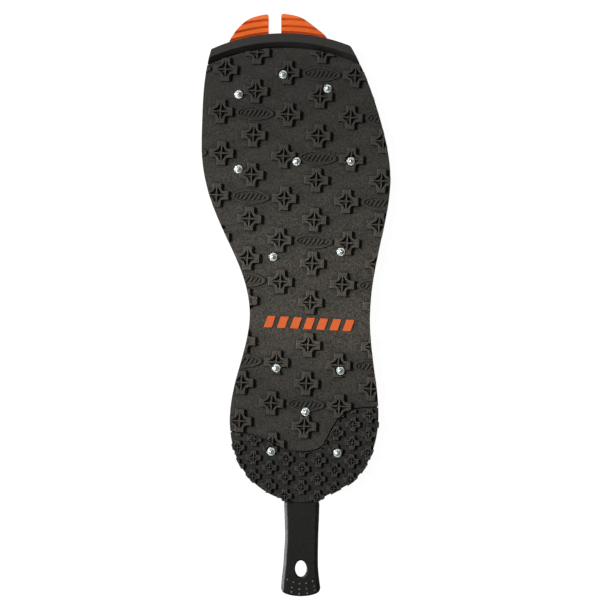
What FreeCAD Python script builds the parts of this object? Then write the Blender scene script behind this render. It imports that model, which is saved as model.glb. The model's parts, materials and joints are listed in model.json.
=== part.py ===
"""Studded interchangeable sole for ice and snow (left foot), as an assembly of separate pieces.

A moulded carrier plate holds two cemented rubber tread sheets, a ridged toe tongue, thirteen
screw-in studs with carbide tips and their flanged sockets, an arch inlay and a flexible heel strap.

Frame: millimetres. Z = 0 is the face that meets the boot, and +Z points out of the tread. +Y points
to the toe and +X to the outer (little toe) side. The origin is the centre of the footprint box.
"""

import FreeCAD, Part

import math
import os

Vector = FreeCAD.Vector

# ---- levels and thicknesses, counted from the boot face ----
CARRIER_T = 4.0
SHEET_T = 3.0
FIELD_Z = CARRIER_T + SHEET_T
LUG_H = 3.0
HEEL_LUG_H = 2.4
OVAL_H = 1.3
TOE_BAR_Z = 9.8
CARRIER_INSET = 0.6

# ---- sole outline, heel to toe on each side ----
MEDIAL_SIDE = [(-7.6, -124.2), (-24.0, -116.1), (-36.1, -101.7), (-42.2, -80.0), (-41.2, -59.5),
               (-33.3, -28.7), (-29.7, -5.7), (-33.6, 17.3), (-45.0, 44.2), (-54.6, 67.3),
               (-60.0, 92.0), (-60.2, 116.0), (-57.2, 151.7), (-54.2, 163.5)]
LATERAL_SIDE = [(34.7, 165.5), (43.7, 147.9), (54.2, 117.2), (60.3, 82.0), (55.8, 48.1),
                (49.0, 14.0), (47.2, -9.5), (50.3, -44.1), (52.6, -67.0), (48.6, -94.0),
                (34.2, -114.0), (26.0, -118.5), (15.3, -124.0)]
TOE_APEX = (-10.3, 173.6)
HEEL_APEX = (3.8, -125.8)
TOE_CORNER_R = {"medial": 1.2, "lateral": 4.0}

# ---- raised bar across the toe ----
BAR_REAR_FOOT = [(-66.0, 149.4), (-7.9, 165.2), (50.2, 149.6)]
BAR_SLOPE_RUN = 3.0
BAR_GAP = 0.8

# ---- seam between the two tread sheets ----
SEAM = [(-50.0, -82.0), (-30.0, -82.3), (-18.0, -86.5), (-6.9, -92.1), (6.9, -93.5), (15.5, -91.0),
        (20.1, -84.5), (25.5, -74.8), (32.7, -68.2), (45.1, -65.4), (60.0, -64.8)]
SEAM_GAP = 0.8

# ---- big lugs, on a centred lattice that lies slightly skew on the sole ----
LATTICE_TURN = -2.8
LATTICE_START = (-46.0, 150.1)
LATTICE_STEP_X = 20.75
LATTICE_STEP_Y = 13.2
LATTICE_ROWS = range(-1, 19)
LATTICE_COLUMNS = range(-1, 7)
INLAY_ROW = 12
# how far each row of the lattice lies ahead of an even spacing, from row -1 on
ROW_DRIFT = [0.0, 0.55, 0.25, 0.1, -0.05, -0.2, -0.5, -0.65, -0.85, -0.85, -1.0, -1.05, -0.2, 0.0, -1.1, 0.15, 0.05,
             0.4, 0.45, 0.5]
# how far a lug gives way to an oval pad beside it, and ahead of or behind it
OVAL_PUSH_X = 0.9
OVAL_PUSH_Y = 0.7
# the lug that is tucked closer under the toe bar
BAR_LUG = (3, -1)
BAR_LUG_SHIFT = 1.1
LUG_HALF = 7.5
LUG_ARM_HALF = 2.65
LUG_WEB = 2.1
LUG_WEB_HOLLOW = 0.45
LUG_DRAFT = 0.35
PIT_REACH = 5.8
PIT_WAIST = 2.3
RIB_HALF = 0.42
PIT_DEPTH = 2.6

# ---- oval pads between lugs ----
OVAL_A = 13.6
OVAL_B = 4.55
OVAL_TIP_R = 1.7
OVAL_RIM = 0.9
OVAL_SINK = 0.9

# ---- small lugs of the heel sheet ----
HEEL_SCALE = 0.6
HEEL_PIT_SCALE = 0.575
HEEL_TURN = -2.3
HEEL_START = (3.8, -104.4)
HEEL_STEP_X = 10.44
HEEL_STEP_Y = 5.92
HEEL_PIT_DEPTH = 1.6
HEEL_OVERHANG = 0.6
HEEL_LAST_ROW_Y = -124.0

# ---- arch inlay: a row of slanted bars ----
INLAY_CENTRE = (8.3, -11.7)
INLAY_BARS = 7
INLAY_PITCH = 8.4
INLAY_BAR_W = 5.2
INLAY_BAR_H = 7.4
INLAY_SLANT = 2.2
INLAY_DEPTH = 1.2
INLAY_PROUD = 0.5

# ---- studs ----
STUDS = [(-8.45, 147.5), (20.0, 138.4), (-36.8, 134.7), (0.25, 91.85), (34.85, 91.9), (-36.9, 86.95),
         (28.75, 34.1), (-14.7, 30.85), (-12.75, -40.25), (28.2, -41.95), (5.95, -68.25), (-16.05, -93.5),
         (26.35, -94.5)]
FLANGE_R = 2.8
FLANGE_T = 1.0
RING_R = 2.4
RING_SINK = 0.5
HEX_R = 2.05
HEX_T = 0.7
# radius and height of the domed cone over the hexagon
CONE = [(1.68, 8.7), (1.56, 9.5), (1.32, 10.15), (1.0, 10.5)]
CONE_TOP = 10.5
TIP_R = 0.8
TIP_SEAT_Z = 8.4
TIP_TOP = 12.4
SHANK_R = 1.45
SHANK_END = 1.5
SOCKET_FLANGE_R = 4.5
SOCKET_FLANGE_T = 1.0
SOCKET_R = 2.6
SOCKET_TOP = 5.4
SOCKET_SINK = 0.2
FIT_GAP = 0.05
STUD_CLEARANCE = 0.5

# ---- toe tongue ----
TONGUE_DOME = [(-44.0, 166.4), (-38.2, 176.3), (-30.7, 182.9), (-22.5, 185.7), (-13.4, 186.8),
               (-7.0, 186.55), (6.3, 182.5), (11.6, 178.4), (16.2, 174.9), (21.0, 169.0)]
TONGUE_SLOT_X = (-17.6, -9.6)
TONGUE_SLOT_FOOT_Y = 173.2
TONGUE_TIP_Y = 186.4
TONGUE_ROOT_Y = 153.8
TONGUE_ROOT_T = 2.6
TONGUE_BASE_T = 3.0
RIDGE_PEAK = 1.5
RIDGE_BACK = 1.1
RIDGE_FEET = [-6.0, 0.9, 4.9, 9.3, 20.0]
PEG_R = 2.4
PEGS = [(-32.0, 160.5), (10.0, 160.5)]

# ---- heel strap ----
STRAP_X = 3.5
HINGE_Y = -128.0
HINGE_Z = 2.2
KNUCKLE_R = 1.75
KNUCKLE_GAP = 0.15
STRAP_END_Y = -186.6
# how far the strap reaches to the inner and the outer side of the hinge's middle, and where
STRAP_SIDE = [(11.2, 11.35, HINGE_Y), (10.85, 11.1, -138.0), (10.65, 10.7, -148.0), (11.3, 10.5, -159.0),
              (11.85, 10.55, -167.5), (12.7, 11.15, -174.7), (13.25, 12.0, -181.2)]
# half width of the rounded end, and how far ahead of its tip
STRAP_END = [(12.625, 5.4), (12.3, 4.0), (11.2, 2.75), (8.95, 1.6), (5.5, 0.55), (0.0, 0.0)]
STRAP_BEVEL_W = 1.9
STRAP_BEVEL_H = 1.5
STRAP_END_BEVEL_W = 0.5
HOLE_X = 3.0
HOLE_Y = -168.9
HOLE_A = 5.3
HOLE_B = 3.65
BUMP_R = 0.8
BUMP_RISE = 0.35
BUMP_ROWS = [(5, 4.05, -1.0, -178.4), (4, 4.7, 1.0, -182.0), (4, 5.0, 1.1, -185.2)]
ANCHOR_FRONT_Y = -108.0
ANCHOR_HALF = 10.5

# ---- lightening pockets in the boot face ----
POCKET_HALF_FLATS = 6.0
POCKET_PITCH = 14.0
POCKET_DEPTH = 1.6
POCKET_MARGIN = 6.0
BOSS_R = 6.2

FAR = 400.0
TALL = 40.0


# ---------------------------------------------------------------- helpers
def at(x, y, z=0.0):
    return Vector(x, y, z)


def spline(points, z=0.0):
    curve = Part.BSplineCurve()
    curve.interpolate([at(x, y, z) for x, y in points])
    return curve.toShape()


def arc(a, b, c, z=0.0):
    return Part.Arc(at(*a, z), at(*b, z), at(*c, z)).toShape()


def line(a, b, z=0.0):
    return Part.makeLine(at(*a, z), at(*b, z))


def polygon(points, z=0.0):
    corners = [at(x, y, z) for x, y in points]
    return Part.makePolygon(corners + corners[:1])


def prism(wire, z0, z1):
    solid = Part.Face(wire).extrude(Vector(0, 0, z1 - z0))
    solid.translate(Vector(0, 0, z0))
    return solid


def taper(low, high):
    """A ruled solid between two closed wires with the same number of edges."""
    return Part.makeLoft([low, high], True, True)


def disc(x, y, r, z0, z1):
    return Part.makeCylinder(r, z1 - z0, at(x, y, z0))


def revolved(profile, x, y):
    """A turned piece from its (radius, height) profile."""
    face = Part.Face(Part.makePolygon([Vector(r, 0, z) for r, z in profile + profile[:1]]))
    body = face.revolve(Vector(0, 0, 0), Vector(0, 0, 1), 360)
    body.translate(at(x, y))
    return body


def shifted(points, distance):
    """The points moved sideways by distance, to the left of the way that they run."""
    moved = []
    for i, (x, y) in enumerate(points):
        x0, y0 = points[max(i - 1, 0)]
        x1, y1 = points[min(i + 1, len(points) - 1)]
        run = math.hypot(x1 - x0, y1 - y0)
        moved.append((x - distance * (y1 - y0) / run, y + distance * (x1 - x0) / run))
    return moved


def turned(x, y, degrees, origin):
    a = math.radians(degrees)
    return (origin[0] + x * math.cos(a) - y * math.sin(a), origin[1] + x * math.sin(a) + y * math.cos(a))


def placed(shape, x, y, degrees=0.0):
    copy = shape.copy()
    copy.rotate(Vector(0, 0, 0), Vector(0, 0, 1), degrees)
    copy.translate(at(x, y))
    return copy


def solids_of(shapes):
    return [solid for shape in shapes for solid in shape.Solids if solid.Volume > 0.05]


def save(name, *shapes):
    solids = solids_of(shapes)
    whole = solids[0] if len(solids) == 1 else Part.makeCompound(solids)
    if not whole.isValid():
        print("INVALID", name)
    whole.exportStep("parts/" + name + ".step")
    print(f"{name}: {len(solids)} solid, {len(whole.Faces)} faces, {whole.Volume / 1000:.2f} cm3")


# ---------------------------------------------------------------- outlines
def toe_arc(inset=0.0):
    """The arc across the toe, from its medial corner to its lateral corner."""
    (x0, y0), (x1, y1) = shifted(MEDIAL_SIDE, -inset)[-1], shifted(LATERAL_SIDE, -inset)[0]
    return (x0, y0 - inset), (TOE_APEX[0], TOE_APEX[1] - inset), (x1, y1 - inset)


def heel_arc(inset=0.0):
    (x0, y0), (x1, y1) = shifted(LATERAL_SIDE, -inset)[-1], shifted(MEDIAL_SIDE, -inset)[0]
    return (x0, y0 + inset), (HEEL_APEX[0], HEEL_APEX[1] + inset), (x1, y1 + inset)


def sole_wire(inset=0.0):
    toe, heel = toe_arc(inset), heel_arc(inset)
    medial = [heel[2]] + shifted(MEDIAL_SIDE, -inset)[1:-1] + [toe[0]]
    lateral = [toe[2]] + shifted(LATERAL_SIDE, -inset)[1:-1] + [heel[0]]
    return Part.Wire([spline(medial), arc(*toe), spline(lateral), arc(*heel)])


def upright_edge_near(solid, x, y):
    def upright(edge):
        run = edge.lastVertex().Point - edge.firstVertex().Point
        return len(edge.Vertexes) == 2 and run.Length > 1 and abs(run.z) > 0.99 * run.Length

    return min((e for e in solid.Edges if upright(e)),
               key=lambda e: math.hypot(e.CenterOfMass.x - x, e.CenterOfMass.y - y))


def sole_block(z0, z1):
    """The whole outline as a block, with its two toe corners rounded."""
    block = prism(sole_wire(), z0, z1)
    for side, corner in (("medial", MEDIAL_SIDE[-1]), ("lateral", LATERAL_SIDE[0])):
        block = block.makeFillet(TOE_CORNER_R[side], [upright_edge_near(block, *corner)])
    return block


def behind_bar(z0, z1):
    """Everything to the rear of the toe bar's foot, less the gap that shows there."""
    foot = Part.Circle(*[at(*point) for point in BAR_REAR_FOOT])
    inside = disc(foot.Center.x, foot.Center.y, foot.Radius - BAR_GAP, z0, z1)
    return inside.fuse(Part.makeBox(2 * FAR, FAR + BAR_REAR_FOOT[0][1] - 40, z1 - z0, at(-FAR, -FAR, z0)))


def below_seam(distance, z0, z1):
    points = shifted(SEAM, distance)
    start, end = points[0], points[-1]
    corners = [(FAR, end[1]), (FAR, -FAR), (-FAR, -FAR), (-FAR, start[1])]
    sides = [line(end, corners[0])] + [line(a, b) for a, b in zip(corners, corners[1:])] + [line(corners[-1], start)]
    return prism(Part.Wire([spline(points)] + sides), z0, z1)


# ---------------------------------------------------------------- tread sheets
def lug_contour(half, arm, web, grow, z):
    """A plus with its four inner corners hollowed, grown outwards by grow."""
    half, arm = half + grow, arm + grow
    inner, hollow = arm + web, arm + LUG_WEB_HOLLOW * web / LUG_WEB
    quarter = [(half, -arm), (half, arm), (inner, arm), (hollow, hollow), (arm, inner)]
    points = []
    for k in range(4):
        points += [turned(x, y, 90 * k, (0, 0)) for x, y in quarter]
    return polygon(points, z)


def pit_contour(reach, waist, rib, shrink, quarter, z):
    """One of the four pits: a right angle between the ribs, with a hollow third side."""
    low, high, mid = rib + shrink, reach - rib - 1.4 * shrink, waist - 0.4 * shrink
    corners = [(low, low), (high, low), (mid, mid), (low, high)]
    return polygon([turned(x, y, 90 * quarter, (0, 0)) for x, y in corners], z)


def lug(scale, pit_scale, height, pit_depth, root):
    """A cross-shaped lug with a four-part pit in its middle, standing on the field."""
    half, arm, web = LUG_HALF * scale, LUG_ARM_HALF * scale, LUG_WEB * scale
    top = FIELD_Z + height
    body = taper(lug_contour(half, arm, web, LUG_DRAFT, root), lug_contour(half, arm, web, 0.0, top))
    reach, waist, rib = PIT_REACH * pit_scale, PIT_WAIST * pit_scale, RIB_HALF * pit_scale
    for quarter in range(4):
        floor = pit_contour(reach, waist, rib, 0.2 * pit_scale, quarter, top - pit_depth)
        mouth = pit_contour(reach, waist, rib, 0.0, quarter, top + 0.01)
        body = body.cut(taper(floor, mouth))
    return body


def lens(a, b, tip_r, z0, z1):
    """A block between two arcs that meet in rounded tips."""
    upper = arc((-a, 0), (0, b), (a, 0))
    lower = arc((a, 0), (0, -b), (-a, 0))
    block = prism(Part.Wire([upper, lower]), z0, z1)
    return block.makeFillet(tip_r, [upright_edge_near(block, x, 0) for x in (-a, a)])


def oval_pad():
    """A low pointed-oval pad with a raised rim and a row of short raised bars."""
    top = FIELD_Z + OVAL_H
    sunk = lens(OVAL_A - 2 * OVAL_RIM, OVAL_B - OVAL_RIM, OVAL_TIP_R, top - OVAL_SINK, top + 1)
    pad = lens(OVAL_A, OVAL_B, OVAL_TIP_R, FIELD_Z - 0.5, top).cut(sunk)
    bars = []
    for k in range(-3, 4):
        reach = 2.1 - 0.12 * k * k
        slant = 0.6 * reach
        bar = polygon([(-0.5 - slant, -reach), (0.5 - slant, -reach), (0.5 + slant, reach), (-0.5 + slant, reach)])
        bars.append(placed(prism(bar, top - OVAL_SINK - 0.1, top), 2.8 * k, 0))
    return pad.multiFuse(bars)


def lattice_point(column, row, push_x=0.0, push_y=0.0):
    ahead = ROW_DRIFT[row - LATTICE_ROWS[0]] + push_y - row * LATTICE_STEP_Y
    return turned(column * LATTICE_STEP_X + push_x, ahead, LATTICE_TURN, LATTICE_START)


def is_oval(column, row):
    """Every second gap of the even rows, changing sides from one even row to the next; none in the inlay's row."""
    return row % 2 == 0 and row != INLAY_ROW and column % 4 == (3 if row % 4 == 0 else 1)


def big_lug_places():
    """Every second point of the lattice, apart from the arch row that the inlay takes."""
    places = []
    for row in LATTICE_ROWS:
        for column in LATTICE_COLUMNS:
            if (column + row) % 2 == 0 and row != INLAY_ROW:
                push_x = OVAL_PUSH_X * (is_oval(column - 1, row) - is_oval(column + 1, row))
                push_y = OVAL_PUSH_Y * (is_oval(column, row + 1) - is_oval(column, row - 1))
                x, y = lattice_point(column, row, push_x, push_y)
                places.append((x, y + BAR_LUG_SHIFT if (column, row) == BAR_LUG else y))
    return places


def oval_places():
    return [lattice_point(column, row) for row in LATTICE_ROWS[1:] for column in range(-1, 8) if is_oval(column, row)]


def heel_lug_places():
    lattice = [turned(column * HEEL_STEP_X, -row * HEEL_STEP_Y, HEEL_TURN, HEEL_START)
               for row in range(-8, 6) for column in range(-6, 7) if (column + row) % 2 == 0]
    return [(x, y) for x, y in lattice if y > HEEL_LAST_ROW_Y]


def inlay_bars(grow, z0, z1):
    bars = []
    for k in range(INLAY_BARS):
        x = (k - (INLAY_BARS - 1) / 2) * INLAY_PITCH
        w, h = INLAY_BAR_W / 2 + grow, INLAY_BAR_H / 2 + grow
        s = INLAY_SLANT / 2
        corners = [(x - w - s, -h), (x + w - s, -h), (x + w + s, h), (x - w + s, h)]
        bars.append(prism(polygon([turned(a, b, LATTICE_TURN, INLAY_CENTRE) for a, b in corners]), z0, z1))
    return bars


def with_pattern(sheet, region, shapes):
    """The sheet with the clipped shapes moulded on, without any sliver that does not reach it."""
    kept = []
    box = region.BoundBox
    for shape in shapes:
        if box.intersect(shape.BoundBox):
            piece = shape.common(region)
            if piece.Volume > 1.0:
                kept += piece.Solids
    moulded = sheet.multiFuse(kept).removeSplitter()
    return max(moulded.Solids, key=lambda solid: solid.Volume)


def stud_clearances():
    cuts = []
    for x, y in STUDS:
        cuts.append(disc(x, y, FLANGE_R + STUD_CLEARANCE, FIELD_Z, FIELD_Z + TALL))
        cuts.append(disc(x, y, SHANK_R + FIT_GAP, CARRIER_T - 1, FIELD_Z + 1))
        cuts.append(disc(x, y, SOCKET_R + FIT_GAP, CARRIER_T - 1, SOCKET_TOP + 0.1))
    return cuts


def main_tread():
    region = sole_block(CARRIER_T, FIELD_Z + TALL).common(behind_bar(0, TALL)).cut(
        below_seam(SEAM_GAP / 2, 0, TALL))
    sheet = region.common(Part.makeBox(2 * FAR, 2 * FAR, FIELD_Z, at(-FAR, -FAR, 0)))
    big = lug(1.0, 1.0, LUG_H, PIT_DEPTH, FIELD_Z - 0.5)
    oval = oval_pad()
    pattern = [placed(big, x, y, LATTICE_TURN) for x, y in big_lug_places()]
    pattern += [placed(oval, x, y, LATTICE_TURN) for x, y in oval_places()]
    tread = with_pattern(sheet, region, pattern)
    return tread.cut(stud_clearances() + inlay_bars(FIT_GAP, FIELD_Z - INLAY_DEPTH, FIELD_Z + TALL))


def heel_tread():
    region = sole_block(CARRIER_T, FIELD_Z + TALL).common(below_seam(-SEAM_GAP / 2, 0, TALL))
    sheet = region.common(Part.makeBox(2 * FAR, 2 * FAR, FIELD_Z, at(-FAR, -FAR, 0)))
    small = lug(HEEL_SCALE, HEEL_PIT_SCALE, HEEL_LUG_H, HEEL_PIT_DEPTH, CARRIER_T + 0.3)
    pattern = [placed(small, x, y, HEEL_TURN) for x, y in heel_lug_places()]
    reach = prism(sole_wire(-HEEL_OVERHANG), CARRIER_T, TALL).common(below_seam(-SEAM_GAP / 2, 0, TALL))
    return with_pattern(sheet, reach, pattern).cut(stud_clearances())


# ---------------------------------------------------------------- toe tongue
def ridge_block():
    """A disc whose top is a row of ridges, centred on the toe's arc."""
    toe = Part.Circle(*[at(*point) for point in toe_arc()])
    feet = [toe.Radius + step for step in RIDGE_FEET]
    profile = [(0.0, 0.0), (feet[-1], 0.0)]
    for near, far in reversed(list(zip(feet, feet[1:]))):
        profile += [(far, TONGUE_BASE_T), (near + RIDGE_BACK, TONGUE_BASE_T + RIDGE_PEAK), (near, TONGUE_BASE_T)]
    profile.append((0.0, TONGUE_BASE_T))
    clean = [p for i, p in enumerate(profile) if i == 0 or p != profile[i - 1]]
    face = Part.Face(Part.makePolygon([Vector(r, 0, z) for r, z in clean + clean[:1]]))
    block = face.revolve(Vector(0, 0, 0), Vector(0, 0, 1), 360)
    block.translate(at(toe.Center.x, toe.Center.y))
    return block


def tongue_wire(grow):
    """The dome of the tongue with its root behind it."""
    rim = shifted(TONGUE_DOME, grow)
    left, right = rim[0], rim[-1]
    root = [(right[0], TONGUE_ROOT_Y - grow), (left[0], TONGUE_ROOT_Y - grow)]
    return Part.Wire([spline(rim), line(right, root[0]), line(root[0], root[1]), line(root[1], left)])


def toe_front_block(z0, z1):
    """All that lies ahead of the carrier's toe face."""
    return Part.makeBox(2 * FAR, FAR, z1 - z0, at(-FAR, TONGUE_ROOT_Y, z0)).cut(sole_block(-TALL, TALL))


def toe_tongue():
    whole = prism(tongue_wire(0.0), 0.0, TALL)
    lobes = whole.common(toe_front_block(-1, TALL)).common(ridge_block())
    root = whole.common(Part.makeBox(2 * FAR, 2 * FAR, TONGUE_ROOT_T, at(-FAR, -FAR, 0))).common(
        sole_block(-TALL, TALL))
    x0, x1 = TONGUE_SLOT_X
    slot = Part.makeBox(x1 - x0, FAR, TALL, at(x0, TONGUE_SLOT_FOOT_Y, -1))
    tongue = lobes.fuse(root).removeSplitter().cut(slot)
    corners = [upright_edge_near(tongue, x, TONGUE_TIP_Y) for x in TONGUE_SLOT_X]
    tongue = tongue.makeFillet(1.4, corners)
    return tongue.cut([disc(x, y, PEG_R + FIT_GAP, -1, TALL) for x, y in PEGS])


# ---------------------------------------------------------------- carrier
def toe_bar():
    """The raised bar: a flat crest and a sloping rear face, turned about the foot's arc, inside the outline."""
    foot = Part.Circle(*[at(*point) for point in BAR_REAR_FOOT])
    rear, crest, far = foot.Radius, foot.Radius + BAR_SLOPE_RUN, foot.Radius + 60
    profile = [(rear, 0), (far, 0), (far, TOE_BAR_Z), (crest, TOE_BAR_Z), (rear, FIELD_Z)]
    ahead = Part.makeBox(2 * FAR, FAR, TALL, at(-FAR, 100.0))
    return revolved(profile, foot.Center.x, foot.Center.y).common(sole_block(0, TALL)).common(ahead)


def hex_pocket():
    r = POCKET_HALF_FLATS / math.cos(math.pi / 6)
    corners = [(r * math.cos(math.radians(60 * k + 30)), r * math.sin(math.radians(60 * k + 30))) for k in range(6)]
    return prism(polygon(corners), -1.0, POCKET_DEPTH)


def pocket_places():
    """Hexagon centres that keep clear of the rim, the sockets, the tongue and the strap anchor."""
    inside = Part.Face(sole_wire(POCKET_MARGIN + POCKET_HALF_FLATS))
    row_step = POCKET_PITCH * math.sqrt(3) / 2
    clear = BOSS_R + POCKET_HALF_FLATS
    places = []
    for row in range(-12, 13):
        for column in range(-6, 7):
            x, y = (column + 0.5 * (row % 2)) * POCKET_PITCH, row * row_step
            if not inside.isInside(at(x, y), 0.01, True):
                continue
            if any(math.hypot(x - a, y - b) < clear for a, b in STUDS):
                continue
            if y > TONGUE_ROOT_Y - POCKET_MARGIN - 2 or y < ANCHOR_FRONT_Y + POCKET_MARGIN + 2:
                continue
            places.append((x, y))
    return places


def anchor_block(grow, z0, z1):
    length = HINGE_Y - 20 - ANCHOR_FRONT_Y
    width = 2 * (ANCHOR_HALF + grow)
    return Part.makeBox(width, abs(length) + grow, z1 - z0, at(STRAP_X - width / 2, HINGE_Y - 20, z0))


def carrier_plate():
    base = prism(sole_wire(CARRIER_INSET), 0.0, CARRIER_T)
    plate = base.fuse(toe_bar()).removeSplitter()
    cuts = [placed(hex_pocket(), x, y) for x, y in pocket_places()]
    for x, y in STUDS:
        cuts.append(disc(x, y, SOCKET_FLANGE_R + FIT_GAP, -1, SOCKET_SINK + SOCKET_FLANGE_T))
        cuts.append(disc(x, y, SOCKET_R + FIT_GAP, -1, TALL))
    cuts.append(prism(tongue_wire(0.1), -1.0, TONGUE_ROOT_T))
    cuts.append(anchor_block(0.1, 1.0, TALL))
    plate = plate.cut(cuts)
    pegs = [disc(x, y, PEG_R, 0.0, TONGUE_ROOT_T + 0.5) for x, y in PEGS]
    pegs += [disc(x, y, PEG_R, 0.5, CARRIER_T) for x, y in anchor_pegs()]
    return plate.multiFuse(pegs).removeSplitter()


# ---------------------------------------------------------------- strap
def anchor_pegs():
    return [(STRAP_X - 5.5, ANCHOR_FRONT_Y - 6.0), (STRAP_X + 5.5, ANCHOR_FRONT_Y - 6.0)]


def across(r, x0, x1):
    """A round bar about the hinge line."""
    return Part.makeCylinder(r, x1 - x0, at(x0, HINGE_Y, HINGE_Z), Vector(1, 0, 0))


def strap_anchor():
    """The strap's root: a tab that lies under the heel sheet and ends in a socket round the hinge line."""
    tab = anchor_block(0.0, 1.0, CARRIER_T)
    tail = Part.makeBox(4 * ANCHOR_HALF, 20, TALL, at(STRAP_X - 2 * ANCHOR_HALF, HINGE_Y - 20, -1))
    socket = across(KNUCKLE_R + KNUCKLE_GAP, STRAP_X - 20, STRAP_X + 20)
    swing = Part.makeBox(40, 20, HINGE_Z + 1, at(STRAP_X - 20, HINGE_Y + KNUCKLE_R + KNUCKLE_GAP - 20, -1))
    tab = tab.cut([tail, socket, swing])
    return tab.cut([disc(x, y, PEG_R + FIT_GAP, -1, TALL) for x, y in anchor_pegs()])


def strap_wire(side_inset, end_inset, z):
    """The strap's rim: two sides that narrow and flare, leaning a little inwards, and a rounded end."""
    def rim(sign):
        points = []
        for inner_reach, outer_reach, y in STRAP_SIDE:
            reach = inner_reach if sign < 0 else outer_reach
            points.append((STRAP_X + sign * (reach - side_inset), y))
        x, y = points.pop()
        return points + [(x, y + end_inset)]

    left, right = rim(-1), rim(1)[::-1]
    inner = 1.0 - side_inset / STRAP_END[0][0]
    tip = (left[-1][0] + right[0][0]) / 2
    end = [(tip - half * inner, STRAP_END_Y + ahead + end_inset) for half, ahead in STRAP_END[1:]]
    end += [(2 * tip - x, y) for x, y in end[-2::-1]]
    return Part.Wire([spline(left, z), spline([left[-1]] + end + [right[0]], z), spline(right, z),
                      line(right[-1], left[0], z)])


def strap_bumps():
    """Three rows of grip bumps that follow the strap's rounded end."""
    bumps = []
    for count, pitch, offset, row_y in BUMP_ROWS:
        for k in range(count):
            x = (k - (count - 1) / 2) * pitch + offset
            y = row_y + 0.03 * x * x
            bumps.append(Part.makeSphere(BUMP_R, at(STRAP_X + x, y, HINGE_Z + KNUCKLE_R + BUMP_RISE - BUMP_R)))
    return bumps


def heel_strap():
    low, high = HINGE_Z - KNUCKLE_R, HINGE_Z + KNUCKLE_R
    slab = prism(strap_wire(0.0, 0.0, 0.0), low, high - STRAP_BEVEL_H)
    bevelled = taper(strap_wire(0.0, 0.0, high - STRAP_BEVEL_H),
                     strap_wire(STRAP_BEVEL_W, STRAP_END_BEVEL_W, high))
    inner_reach, outer_reach, _ = STRAP_SIDE[0]
    knuckle = across(KNUCKLE_R, STRAP_X - inner_reach, STRAP_X + outer_reach)
    hole = Part.Ellipse(at(0, 0), HOLE_A, HOLE_B).toShape()
    cutter = placed(prism(Part.Wire(hole), -5, 10), HOLE_X, HOLE_Y, 90)
    return slab.multiFuse([bevelled, knuckle] + strap_bumps()).cut(cutter)


# ---------------------------------------------------------------- studs and their sockets
def stud_body(x, y, turn):
    """A screw-in stud: shank, flange with a sunk ring, hexagon to drive it, domed cone, bore for the tip."""
    top = FIELD_Z + FLANGE_T
    sunk, hex_top = top - RING_SINK, top + HEX_T
    profile = [(0, SHANK_END), (SHANK_R - 0.4, SHANK_END), (SHANK_R, SHANK_END + 0.4), (SHANK_R, FIELD_Z),
               (FLANGE_R, FIELD_Z), (FLANGE_R, top - 0.3), (FLANGE_R - 0.2, top), (RING_R + 0.05, top),
               (RING_R - 0.1, sunk), (CONE[0][0], sunk)] + CONE + [(0, CONE_TOP)]
    corners = [(HEX_R * math.cos(math.radians(60 * k + turn)), HEX_R * math.sin(math.radians(60 * k + turn)))
               for k in range(6)]
    hexagon = placed(prism(polygon(corners), sunk - 0.2, hex_top), x, y)
    return revolved(profile, x, y).fuse(hexagon).cut(disc(x, y, TIP_R, TIP_SEAT_Z, TALL))


def stud_tip(x, y):
    return revolved([(0, TIP_SEAT_Z), (TIP_R, TIP_SEAT_Z), (TIP_R, TIP_TOP - 0.8), (TIP_R - 0.25, TIP_TOP - 0.25),
                     (0, TIP_TOP)], x, y)


def stud_socket(x, y):
    """A flanged, internally threaded socket, drawn at its thread's inner radius."""
    low = SOCKET_SINK
    bore = SHANK_R + FIT_GAP
    return revolved([(bore, low), (SOCKET_FLANGE_R, low), (SOCKET_FLANGE_R, low + SOCKET_FLANGE_T),
                     (SOCKET_R, low + SOCKET_FLANGE_T), (SOCKET_R, SOCKET_TOP), (bore, SOCKET_TOP)], x, y)


# ---------------------------------------------------------------- build
def build():
    os.makedirs("parts", exist_ok=True)
    save("carrier_plate", carrier_plate())
    save("main_tread", main_tread())
    save("heel_tread", heel_tread())
    save("toe_tongue", toe_tongue())
    save("arch_inlay", *inlay_bars(0.0, FIELD_Z - INLAY_DEPTH, FIELD_Z + INLAY_PROUD))
    save("strap_anchor", strap_anchor())
    save("heel_strap", heel_strap())
    for number, (x, y) in enumerate(STUDS, 1):
        save(f"stud_{number:02d}", stud_body(x, y, 23.0 * number))
        save(f"stud_tip_{number:02d}", stud_tip(x, y))
        save(f"stud_socket_{number:02d}", stud_socket(x, y))


build()
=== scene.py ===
"""Studded winter outsole: looks, the soft heel strap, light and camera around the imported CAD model.

Lengths of the strap and of the materials are in millimetres, which MM turns into metres; those of the
stage and the lights are in metres.
"""

import json
import math

import bmesh
import bpy
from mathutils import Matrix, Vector


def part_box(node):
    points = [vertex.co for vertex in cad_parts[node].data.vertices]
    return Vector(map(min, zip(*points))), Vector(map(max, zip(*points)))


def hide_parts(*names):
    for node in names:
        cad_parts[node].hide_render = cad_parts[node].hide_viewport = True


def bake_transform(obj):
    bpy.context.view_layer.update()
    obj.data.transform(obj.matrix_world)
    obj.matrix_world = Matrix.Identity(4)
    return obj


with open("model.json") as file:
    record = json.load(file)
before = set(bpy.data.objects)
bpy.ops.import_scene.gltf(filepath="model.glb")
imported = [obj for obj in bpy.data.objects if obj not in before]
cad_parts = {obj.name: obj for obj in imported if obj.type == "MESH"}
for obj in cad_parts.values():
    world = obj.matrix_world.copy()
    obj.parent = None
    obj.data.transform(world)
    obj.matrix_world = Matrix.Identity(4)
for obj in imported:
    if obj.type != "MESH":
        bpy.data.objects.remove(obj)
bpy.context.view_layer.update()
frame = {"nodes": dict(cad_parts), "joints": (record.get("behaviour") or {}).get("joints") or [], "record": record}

MM = 0.001


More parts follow.
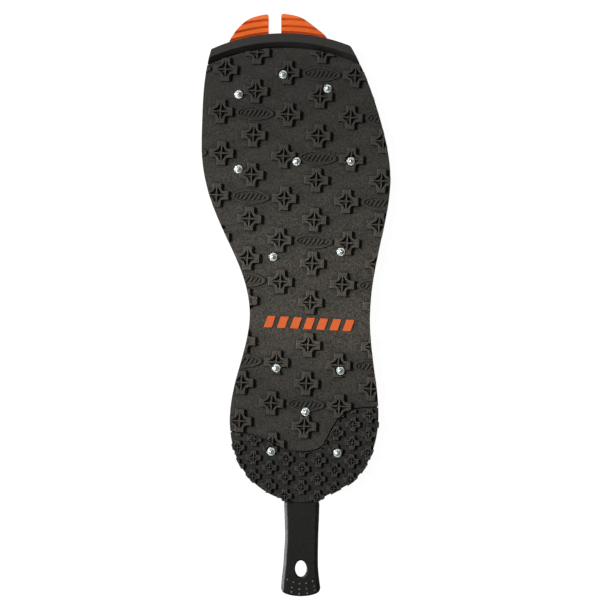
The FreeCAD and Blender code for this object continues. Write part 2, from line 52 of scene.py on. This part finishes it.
# ---------------------------------------------------------------- materials
# noise scales, in features per metre
BLOTCH_SCALE = 26.0
PEBBLE_SCALE = 1200.0
FINE_SCALE = 3000.0
CLOUD_SCALE = 900.0
SCRATCH_SCALE = 2500.0
# how far the rounded normal turns, as a cosine, where an edge's painted highlight begins and where it is in full
EDGE_BEGINS, EDGE_FULL = 0.995, 0.8
# height over which a moulded top turns lighter: wear on the treads and heel, a painted highlight on the strap's
# bumps
WEAR_AND_HIGHLIGHT_STEP = 0.3 * MM
# open share of the sky where the painted shade of a hollow is darkest and where it ends, and the darkest factor
SHADE_SKY_CLOSED, SHADE_SKY_OPEN, SHADE_DARKEST = 0.45, 0.95, 0.35
METAL_EDGE = 0.12 * MM
METAL_GRAIN = 0.02 * MM


class Nodes:
    """A short way to write a node tree."""

    def __init__(self, name):
        self.material = bpy.data.materials.new(name)
        self.material.use_nodes = True
        self.tree = self.material.node_tree
        self.shader = self.tree.nodes["Principled BSDF"]
        self.coords = self.tree.nodes.new("ShaderNodeTexCoord").outputs["Object"]

    def add(self, kind, inputs=None, **settings):
        node = self.tree.nodes.new(kind)
        for key, value in settings.items():
            setattr(node, key, value)
        for key, value in (inputs or {}).items():
            self.put(node.inputs[key], value)
        return node

    def put(self, socket, value):
        if isinstance(value, bpy.types.NodeSocket):
            self.tree.links.new(value, socket)
        else:
            socket.default_value = value

    def noise(self, scale, detail=4.0, roughness=0.5):
        node = self.add("ShaderNodeTexNoise", {"Vector": self.coords, "Scale": scale,
                                               "Detail": detail, "Roughness": roughness})
        return node.outputs["Fac"]

    def part_of(self, vector, letter):
        return self.add("ShaderNodeSeparateXYZ", {0: vector}).outputs[letter]

    def surface_normal(self):
        return self.add("ShaderNodeNewGeometry").outputs["Normal"]

    def tint(self, colour, factor):
        """The colour times a grey factor, which may go above one."""
        grey = self.add("ShaderNodeCombineColor", {0: factor, 1: factor, 2: factor}).outputs[0]
        return self.mix(1.0, colour, grey, "MULTIPLY")

    def span(self, value, low, high, to_low=0.0, to_high=1.0, smooth=False):
        node = self.add("ShaderNodeMapRange", {"Value": value, "From Min": low, "From Max": high,
                                               "To Min": to_low, "To Max": to_high},
                        interpolation_type="SMOOTHSTEP" if smooth else "LINEAR")
        return node.outputs["Result"]

    def mix(self, factor, a, b, blend="MIX"):
        node = self.add("ShaderNodeMix", data_type="RGBA", blend_type=blend)
        # sockets 0, 6 and 7 are the factor and the two colours
        for index, value in ((0, factor), (6, a), (7, b)):
            if isinstance(value, tuple):
                value = (*value, 1.0)
            self.put(node.inputs[index], value)
        return node.outputs[2]

    def math(self, operation, a, b=0.0):
        node = self.add("ShaderNodeMath", operation=operation)
        self.put(node.inputs[0], a)
        self.put(node.inputs[1], b)
        return node.outputs[0]

    def rounded(self, radius):
        """The surface normal with its edges rounded, and a mask that is 1 on those edges."""
        normal = self.add("ShaderNodeBevel", {"Radius": radius}, samples=4).outputs["Normal"]
        turned = self.add("ShaderNodeVectorMath", {0: normal, 1: self.surface_normal()},
                          operation="DOT_PRODUCT").outputs["Value"]
        return normal, self.span(turned, EDGE_BEGINS, EDGE_FULL)

    def bump(self, height, distance, normal):
        return self.add("ShaderNodeBump", {"Height": height, "Distance": distance, "Strength": 1.0,
                                           "Normal": normal}).outputs["Normal"]

    def finish(self, colour, roughness, normal=None, metallic=0.0, specular=0.5):
        self.put(self.shader.inputs["Base Color"], (*colour, 1.0) if isinstance(colour, tuple) else colour)
        self.put(self.shader.inputs["Roughness"], roughness)
        self.shader.inputs["Metallic"].default_value = metallic
        self.shader.inputs["Specular IOR Level"].default_value = specular
        if normal is not None:
            self.put(self.shader.inputs["Normal"], normal)
        return self.material


def scaled(colour, factor):
    return tuple(c * factor for c in colour)


def rubber(name, colour, roughness, grain, edge, edge_highlight, wear_and_highlight_from=None, wear_and_highlight_gain=1.28, speckle=0.3,
           along_tones=(), rear_shade_tint=None, hollow_shade=0.0, specular=0.3, side_roughness=None):
    """Moulded rubber with blotches, pebble grain and painted highlights on its edges.

    Tops above wear_and_highlight_from are wear_and_highlight_gain times lighter: wear on the treads, a painted
    highlight on the strap's bumps. Each row of along_tones grades the tone along the sole, as (start y, stop y,
    factor at start, factor at stop). rear_shade_tint multiplies the faces that look to the heel as painted shade,
    hollow_shade is the reach of the painted shade in hollows, and side_roughness is the roughness of the faces
    that look sideways.
    """
    n = Nodes(name)
    blotch = n.noise(BLOTCH_SCALE, 5.0, 0.62)
    pebble = n.noise(PEBBLE_SCALE, 2.0, 0.6)
    fine = n.noise(FINE_SCALE, 3.0, 0.7)
    tone = n.mix(n.span(blotch, 0.3, 0.7), scaled(colour, 0.86), scaled(colour, 1.14))
    tone = n.tint(tone, n.span(pebble, 0.34, 0.68, 1.0 - speckle, 1.0 + speckle))
    for start, stop, light_start, light_stop in along_tones:
        along = n.part_of(n.coords, "Y")
        tone = n.tint(tone, n.span(along, start * MM, stop * MM, light_start, light_stop, True))
    # lighter tops: wear on the treads and heel, a painted highlight on the strap's bumps
    if wear_and_highlight_from is not None:
        up = n.part_of(n.coords, "Z")
        tone = n.tint(tone, n.span(up, wear_and_highlight_from, wear_and_highlight_from + WEAR_AND_HIGHLIGHT_STEP, 1.0, wear_and_highlight_gain))
    # painted shade: faces that look to the heel, away from the key light, are darkened, redder on the orange
    if rear_shade_tint is not None:
        heel_facing_shade = n.span(n.part_of(n.surface_normal(), "Y"), -0.3, -0.6)
        tone = n.mix(heel_facing_shade, tone, n.mix(1.0, tone, rear_shade_tint, "MULTIPLY"))
    # painted shade in hollows and at the feet of lugs, darker where ambient occlusion finds less open sky
    if hollow_shade > 0.0:
        open_sky = n.add("ShaderNodeAmbientOcclusion", {"Distance": hollow_shade}, samples=6).outputs["AO"]
        tone = n.tint(tone, n.span(open_sky, SHADE_SKY_CLOSED, SHADE_SKY_OPEN, SHADE_DARKEST, 1.0))
    normal, edges = n.rounded(edge)
    # painted highlight: the rounded edges are lightened
    tone = n.tint(tone, n.span(edges, 0.0, 1.0, 1.0, edge_highlight))
    normal = n.bump(pebble, grain, normal)
    normal = n.bump(fine, grain * 0.25, normal)
    unevenness = n.math("ADD", blotch, n.math("MULTIPLY", pebble, 0.5))
    rough = n.span(unevenness, 0.5, 1.0, roughness - 0.07, roughness + 0.09)
    if side_roughness is not None:
        sideways = n.span(n.math("ABSOLUTE", n.part_of(n.surface_normal(), "X")), 0.25, 0.5)
        rough = n.span(sideways, 0.0, 1.0, rough, side_roughness)
    return n.finish(tone, rough, normal, specular=specular)


def metal(name, colour, roughness):
    """Plated metal with a cloudy sheen and fine scratches."""
    n = Nodes(name)
    cloud = n.noise(CLOUD_SCALE, 4.0, 0.6)
    rough = n.span(cloud, 0.3, 0.7, roughness - 0.06, roughness + 0.1)
    tint = n.mix(n.span(cloud, 0.35, 0.65), colour, scaled(colour, 0.78))
    normal, _ = n.rounded(METAL_EDGE)
    return n.finish(tint, rough, n.bump(n.noise(SCRATCH_SCALE), METAL_GRAIN, normal), metallic=1.0)


LOOK = {
    "tread_rubber": rubber(
        "tread_rubber", (0.0285, 0.0252, 0.0194), 0.68, grain=0.3 * MM, edge=0.5 * MM, edge_highlight=2.4,
        wear_and_highlight_from=9.2 * MM, speckle=0.75, along_tones=[(150, -5, 0.62, 1.65), (-12, -60, 1.0, 0.62)],
        hollow_shade=3.0 * MM),
    "heel_rubber": rubber(
        "heel_rubber", (0.0186, 0.0170, 0.0138), 0.68, grain=0.3 * MM, edge=0.4 * MM, edge_highlight=3.1,
        wear_and_highlight_from=8.6 * MM, wear_and_highlight_gain=1.5, speckle=0.8, along_tones=[(-70, -104, 1.0, 0.8)], hollow_shade=2.5 * MM),
    "carrier_rubber": rubber(
        "carrier_rubber", (0.0165, 0.0138, 0.0108), 0.6, grain=0.05 * MM, edge=0.4 * MM, edge_highlight=1.35,
        rear_shade_tint=(0.4, 0.4, 0.4)),
    # the strap's lighter bump tops are a painted highlight, and so are its lighter edges
    "strap_rubber": rubber(
        "strap_rubber", (0.0052, 0.0049, 0.0040), 0.44, grain=0.12 * MM, edge=0.15 * MM, edge_highlight=1.2,
        wear_and_highlight_from=4.0 * MM, wear_and_highlight_gain=26.0, speckle=0.7, specular=0.22, side_roughness=0.26),
    "toe_orange": rubber(
        "toe_orange", (0.69, 0.127, 0.018), 0.46, grain=0.03 * MM, edge=0.25 * MM, edge_highlight=1.15,
        speckle=0.12, rear_shade_tint=(0.9, 0.55, 0.85), hollow_shade=1.0 * MM),
    "inlay_orange": rubber(
        "inlay_orange", (0.58, 0.100, 0.020), 0.5, grain=0.02 * MM, edge=0.3 * MM, edge_highlight=1.2,
        speckle=0.12),
    "stud_steel": metal("stud_steel", (0.90, 0.96, 0.94), 0.42),
    "carbide": metal("carbide", (0.93, 0.93, 0.92), 0.32),
    "socket_steel": metal("socket_steel", (0.55, 0.54, 0.50), 0.35),
}

for part in frame["record"]["subparts"]:
    obj = frame["nodes"][part["node"]]
    for slot in obj.material_slots:
        slot.material = LOOK[part["material_slot"]]


# ---------------------------------------------------------------- heel strap
HINGE = Vector(next(j["pos_m"] for j in frame["joints"] if j["name"] == "strap_flex")) / MM
STRAP_END_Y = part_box("heel_strap")[0][1] / MM
# (distance behind the hinge, half width)
STRAP_HALF = [(-9.0, 10.3), (-3.2, 10.3), (-1.2, 11.23), (3.0, 11.2), (10.0, 10.975), (20.0, 10.675),
              (31.0, 10.9), (39.5, 11.2), (46.7, 11.925), (53.2, 12.625), (60.0, 13.3)]
# (distance behind the hinge, how far the strap's middle lies to the outer side)
STRAP_MIDDLE = [(-9.0, 0.0), (-1.2, 0.05), (3.0, 0.1), (10.0, 0.125), (20.0, 0.025), (31.0, -0.4),
                (39.5, -0.65), (46.7, -0.775), (53.2, -0.625), (60.0, -0.6)]
STRAP_THICK = 3.5
STRAP_TOP, STRAP_BASE = HINGE.z + STRAP_THICK / 2, HINGE.z - STRAP_THICK / 2
# height of the underside under the heel sheet, and the distances between which it falls to the strap's own
ROOT_BASE = 1.08
ROOT_RUN = (-3.0, 0.5)
# distances behind the hinge at which the cross lines start to bow, the corners begin and the strap ends
BOW_RUN, CORNER_RUN, END_RUN = 39.0, 53.0, HINGE.y - STRAP_END_Y
# how far the end's outline falls back at its corners: in an even bow, and in a tight turn of a high power
END_BOW, END_TURN, TURN_POWER = 2.9, 2.4, 14
# width and depth of an edge's slope, and how softly the slope meets the flat
SIDE_SLOPE = (1.9, 1.5, 0.12)
END_SLOPE = (0.7, 0.6, 0.1)
BASE_SLOPE = (0.4, 0.3, 0.08)
# the mesh's cross lines, and its columns from the edge inwards on a strap that is GRID_HALF to each side
GRID_RUNS = ([-9.0 + 0.75 * k for k in range(83)] + [CORNER_RUN + 0.6 * k for k in range(1, 8)]
             + [57.6, 57.9, 58.2, 58.4, END_RUN])
GRID_HALF = 12.0
GRID_INSETS = [0.0, 0.18, 0.5, 0.9, 1.3, 1.65, 1.9, 2.2, 2.7, 3.5, 4.6, 5.9, 7.3, 8.7]

HOLE = Vector((3.0, -168.9, 0.0))
HOLE_R = (3.65, 5.3)
HOLE_SIDES = 56
# how much the hole's lower mouth flares, how many times that its upper one does, and over which height
HOLE_FLARE, UPPER_FLARE, UPPER_DEPTH = 0.45, 1.5, 0.6
# where the hole's cutter starts and ends, clear of the strap
HOLE_CUT_Z = (-2.0, 6.0)

# how many bumps, their pitch, their shift to the outer side, and the row's place
BUMP_ROWS = [(5, 4.05, -1.0, -178.4), (4, 4.7, 1.0, -182.0), (4, 5.0, 1.1, -185.0)]
# a bump's radius, how far its middle lies under the top, and how much the rows bow
BUMP_R, BUMP_SUNK, BUMP_BOW = 0.8, 0.38, 0.03
SHARP_ANGLE = math.radians(38)


def curve_through(table, x):
    """A smooth value at x from a table of (x, value) pairs."""
    last = len(table) - 2
    k = next((i for i in range(last + 1) if x <= table[i + 1][0]), last)
    near = (min(max(i, 0), len(table) - 1) for i in range(k - 1, k + 3))
    (x0, y0), (x1, y1), (x2, y2), (x3, y3) = (table[i] for i in near)
    m1 = (y2 - y0) / (x2 - x0)
    m2 = (y3 - y1) / (x3 - x1)
    t, w = (x - x1) / (x2 - x1), x2 - x1
    return ((2 * t ** 3 - 3 * t ** 2 + 1) * y1 + (t ** 3 - 2 * t ** 2 + t) * w * m1
            + (3 * t ** 2 - 2 * t ** 3) * y2 + (t ** 3 - t ** 2) * w * m2)


def smoothstep(low, high, x):
    t = min(max((x - low) / (high - low), 0.0), 1.0)
    return t * t * (3 - 2 * t)


def edge_fall(distance, width, depth, soft):
    """How far a face lies behind its flat at a distance from its edge, eased over soft."""
    slope = depth / width
    fall = depth - slope * distance
    return 0.5 * (fall + math.sqrt(fall * fall + (slope * soft) ** 2)) if fall > -4 * slope * soft else 0.0


def strap_grid():
    """Cross lines along the strap by columns across it, as (x, y, edge distance, end distance)."""
    rows = []
    for run in GRID_RUNS:
        near_end = smoothstep(BOW_RUN, END_RUN, run)
        row = []
        for side, insets in ((-1, GRID_INSETS), (1, GRID_INSETS[::-1])):
            for inset in insets:
                outwards = 1.0 - inset / GRID_HALF
                along = run - near_end * (END_BOW * outwards ** 2 + END_TURN * outwards ** TURN_POWER)
                half = curve_through(STRAP_HALF, along)
                edge = inset * half / GRID_HALF
                x = HINGE.x + curve_through(STRAP_MIDDLE, along) + side * (half - edge)
                row.append((x, HINGE.y - along, edge, END_RUN - run))
            if side < 0:
                middle = HINGE.x + curve_through(STRAP_MIDDLE, run)
                row.append((middle, HINGE.y - run, GRID_HALF, END_RUN - run))
        rows.append(row)
    return rows


def strap_mesh():
    """The strap as one closed skin: its top, its base and the walls between them."""
    rows = strap_grid()
    width = len(rows[0])
    mesh = bmesh.new()
    top, base = [], []
    for row in rows:
        top_row, base_row = [], []
        for x, y, edge, end in row:
            root = 1.0 - smoothstep(*ROOT_RUN, HINGE.y - y)
            low = STRAP_BASE + (ROOT_BASE - STRAP_BASE) * root
            fall = max(edge_fall(edge, *SIDE_SLOPE), edge_fall(end, *END_SLOPE))
            rise = max(edge_fall(edge, *BASE_SLOPE), edge_fall(end, *BASE_SLOPE))
            top_row.append(mesh.verts.new((x * MM, y * MM, (STRAP_TOP - fall) * MM)))
            base_row.append(mesh.verts.new((x * MM, y * MM, (low + rise) * MM)))
        top.append(top_row)
        base.append(base_row)
    for i in range(len(rows) - 1):
        for k in range(width - 1):
            mesh.faces.new((top[i][k], top[i + 1][k], top[i + 1][k + 1], top[i][k + 1]))
            mesh.faces.new((base[i][k], base[i][k + 1], base[i + 1][k + 1], base[i + 1][k]))
        mesh.faces.new((top[i][0], base[i][0], base[i + 1][0], top[i + 1][0]))
        mesh.faces.new((top[i][-1], top[i + 1][-1], base[i + 1][-1], base[i][-1]))
    for k in range(width - 1):
        mesh.faces.new((top[0][k], top[0][k + 1], base[0][k + 1], base[0][k]))
        mesh.faces.new((top[-1][k], base[-1][k], base[-1][k + 1], top[-1][k + 1]))
    return mesh


def object_from(mesh, name):
    data = bpy.data.meshes.new(name)
    mesh.to_mesh(data)
    mesh.free()
    obj = bpy.data.objects.new(name, data)
    bpy.context.scene.collection.objects.link(obj)
    return obj


def lathe(profile, sides, stretch):
    """A turned solid from (radius, z) pairs, closed at both ends; stretch is its radius in x and in y."""
    mesh = bmesh.new()
    rings = []
    for radius, z in profile:
        rings.append([mesh.verts.new((radius * stretch[0] * math.cos(2 * math.pi * k / sides) * MM,
                                      radius * stretch[1] * math.sin(2 * math.pi * k / sides) * MM, z * MM))
                      for k in range(sides)])
    for low, high in zip(rings, rings[1:]):
        for k in range(sides):
            mesh.faces.new((low[k], low[(k + 1) % sides], high[(k + 1) % sides], high[k]))
    mesh.faces.new(rings[0][::-1])
    mesh.faces.new(rings[-1])
    return mesh


def cut_with(obj, cutter):
    modifier = obj.modifiers.new("cut", "BOOLEAN")
    modifier.operation = "DIFFERENCE"
    modifier.solver = "EXACT"
    modifier.object = cutter
    bpy.context.view_layer.update()
    result = bpy.data.meshes.new_from_object(obj.evaluated_get(bpy.context.evaluated_depsgraph_get()))
    obj.modifiers.clear()
    obj.data = result
    bpy.data.objects.remove(cutter)


def cut_hole(strap):
    flare = HOLE_FLARE / HOLE_R[0]
    lower, upper = 1 + flare, 1 + UPPER_FLARE * flare
    profile = [(lower, HOLE_CUT_Z[0]), (lower, STRAP_BASE), (1.0, STRAP_BASE + HOLE_FLARE),
               (1.0, STRAP_TOP - UPPER_DEPTH), (upper, STRAP_TOP), (upper, HOLE_CUT_Z[1])]
    cutter = object_from(lathe(profile, HOLE_SIDES, HOLE_R), "hole_cutter")
    cutter.location = HOLE * MM
    cut_with(strap, cutter)


def add_bumps(strap):
    mesh = bmesh.new()
    mesh.from_mesh(strap.data)
    for count, pitch, shift, row_y in BUMP_ROWS:
        for k in range(count):
            x = (k - (count - 1) / 2) * pitch + shift
            ball = bmesh.ops.create_uvsphere(mesh, u_segments=14, v_segments=8, radius=BUMP_R * MM)["verts"]
            place = Vector((HINGE.x + x, row_y + BUMP_BOW * x * x, STRAP_TOP - BUMP_SUNK)) * MM
            bmesh.ops.translate(mesh, verts=ball, vec=place)
    mesh.to_mesh(strap.data)
    mesh.free()


def build_strap():
    strap = object_from(strap_mesh(), "heel_strap_soft")
    cut_hole(strap)
    add_bumps(strap)
    strap.data.materials.clear()
    strap.data.materials.append(LOOK["strap_rubber"])
    strap.data.shade_smooth()
    strap.data.set_sharp_from_angle(angle=SHARP_ANGLE)
    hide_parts("heel_strap", "strap_anchor")
    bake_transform(strap)


build_strap()


# ---------------------------------------------------------------- stage, light, camera
FLOOR_TONE, FLOOR_GLOW = 0.08, 0.97
# the floor ends behind the heel, where it turns down and goes on at DROP, so that the bent strap has room
EDGE_Y, EDGE_R, DROP, WIDE = -0.1205, 0.002, -0.085, 12.0
EDGE_STEPS = 6
# the sky is white at the horizon and dark overhead: sines of the heights between which it changes, and its
# strength at each
SKY_HEIGHTS, SKY_STRENGTHS = (0.07, 0.27), (1.0, 0.055)
# each light's name, place, diameter and power; they all point at the middle of the sole
LIGHTS = [("key", (-1.12, 0.36, 1.5), 0.45, 39.0),
          ("overhead", (0.05, -0.1, 2.2), 0.8, 2.9),
          ("rim", (-1.4, -0.2, 0.36), 0.5, 15.0)]
CAMERA_PLACE = (2.45 * MM, 3.3 * MM, 1.6055)
CAMERA_LENS, CAMERA_SENSOR = 150.0, 36.0
WHITE = (1, 1, 1, 1)


def build_floor():
    look = Nodes("floor")
    look.finish((FLOOR_TONE, FLOOR_TONE, FLOOR_TONE), 0.9, specular=0.0)
    look.shader.inputs["Emission Color"].default_value = WHITE
    look.shader.inputs["Emission Strength"].default_value = FLOOR_GLOW
    turn = [(EDGE_Y - EDGE_R * math.sin(a) + EDGE_R, EDGE_R * math.cos(a) - EDGE_R)
            for a in (math.radians(90 / EDGE_STEPS * k) for k in range(EDGE_STEPS + 1))]
    section = [(WIDE, 0.0)] + turn + [(EDGE_Y, DROP), (-WIDE, DROP)]
    mesh = bpy.data.meshes.new("floor")
    mesh.from_pydata([(side * WIDE, y, z) for y, z in section for side in (-1, 1)], [],
                     [(2 * k, 2 * k + 2, 2 * k + 3, 2 * k + 1) for k in range(len(section) - 1)])
    obj = bpy.data.objects.new("floor", mesh)
    bpy.context.scene.collection.objects.link(obj)
    obj.data.materials.append(look.material)


def build_sky():
    world = bpy.data.worlds.new("studio")
    world.use_nodes = True
    sky = world.node_tree
    height = sky.nodes.new("ShaderNodeSeparateXYZ")
    sky.links.new(sky.nodes.new("ShaderNodeTexCoord").outputs["Generated"], height.inputs[0])
    glow = sky.nodes.new("ShaderNodeMapRange")
    sky.links.new(height.outputs["Z"], glow.inputs["Value"])
    sockets = ("From Min", "From Max", "To Min", "To Max")
    for socket, value in zip(sockets, SKY_HEIGHTS + SKY_STRENGTHS):
        glow.inputs[socket].default_value = value
    sky.links.new(glow.outputs["Result"], sky.nodes["Background"].inputs["Strength"])
    sky.nodes["Background"].inputs["Color"].default_value = WHITE
    bpy.context.scene.world = world


def area_light(name, place, size, power):
    light = bpy.data.lights.new(name, "AREA")
    light.shape = "DISK"
    light.size = size
    light.energy = power
    obj = bpy.data.objects.new(name, light)
    obj.location = place
    obj.rotation_euler = (-Vector(place)).to_track_quat("-Z", "Y").to_euler()
    bpy.context.scene.collection.objects.link(obj)


def build_camera():
    """A long lens that looks straight down at the tread."""
    data = bpy.data.cameras.new("camera")
    data.lens = CAMERA_LENS
    data.sensor_width = CAMERA_SENSOR
    camera = bpy.data.objects.new("camera", data)
    camera.location = CAMERA_PLACE
    bpy.context.scene.collection.objects.link(camera)
    bpy.context.scene.camera = camera


build_floor()
build_sky()
for light_row in LIGHTS:
    area_light(*light_row)
build_camera()

bpy.context.scene.view_settings.view_transform = "Standard"
